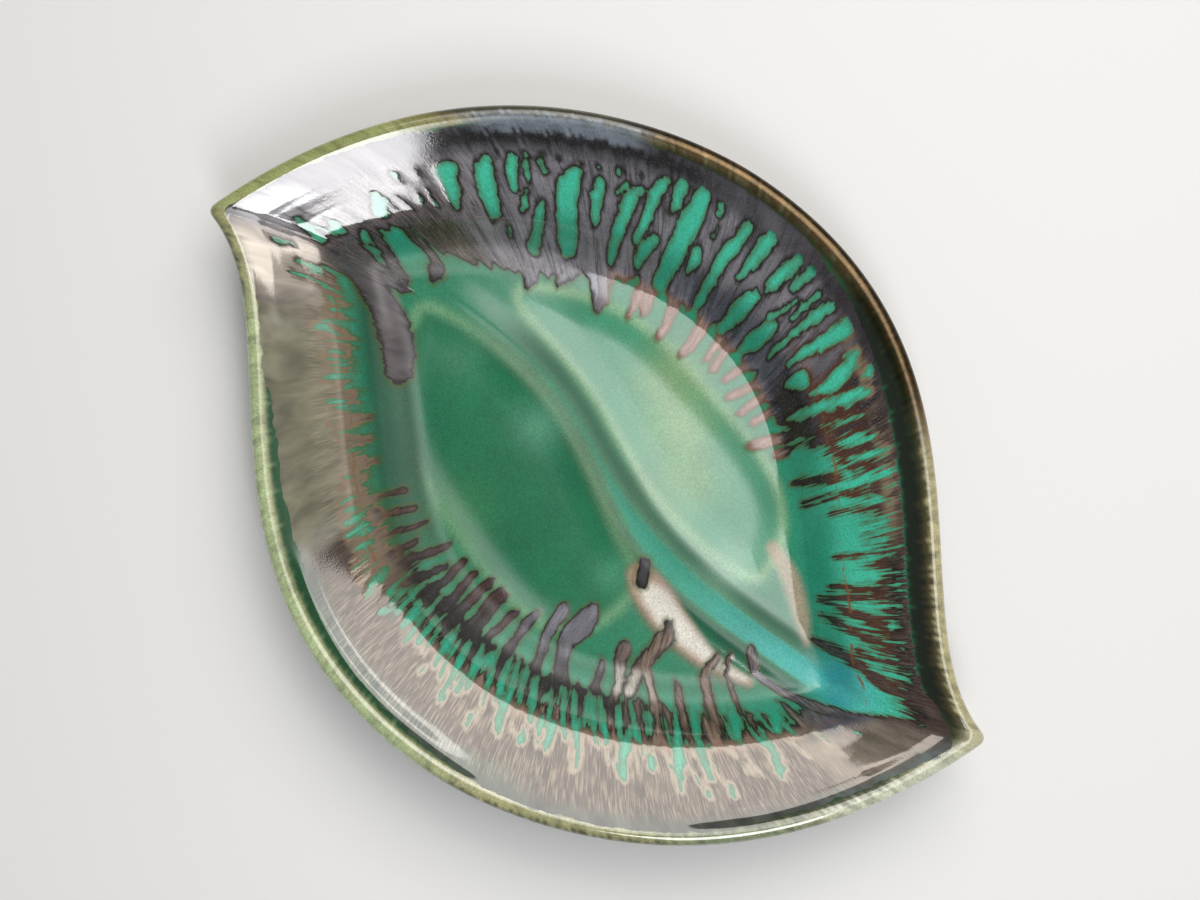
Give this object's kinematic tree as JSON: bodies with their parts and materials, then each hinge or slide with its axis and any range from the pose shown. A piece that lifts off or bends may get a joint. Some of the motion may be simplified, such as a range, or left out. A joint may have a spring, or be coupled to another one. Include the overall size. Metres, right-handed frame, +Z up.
{
  "type": "leaf-shaped serving platter",
  "caption": "Shallow leaf-shaped ceramic serving platter with a rolled lip, sloping sides, a winding midrib between sunk leaf panels, and a drip glaze; stands on a leaf-shaped foot.",
  "frame": {"origin": "on the table under the middle of the leaf, halfway between the tips", "axes": "+X towards one leaf tip, along the line between the tips; +Z up, out of the dish"},
  "size_m": [0.35, 0.253, 0.042],
  "materials": {
    "buff_clay": "bare fired clay, matt",
    "green_glaze": "glossy turquoise to olive green glaze",
    "dark_glaze": "glossy gunmetal grey to brown drip glaze",
    "back_glaze": "glossy dark olive green glaze"
  },
  "bodies": {
    "root": {"clay_body": "buff_clay", "face_glaze": "green_glaze", "run_glaze": "dark_glaze", "back_glaze": "back_glaze", "base_glaze": "back_glaze"}
  },
  "joints": []
}
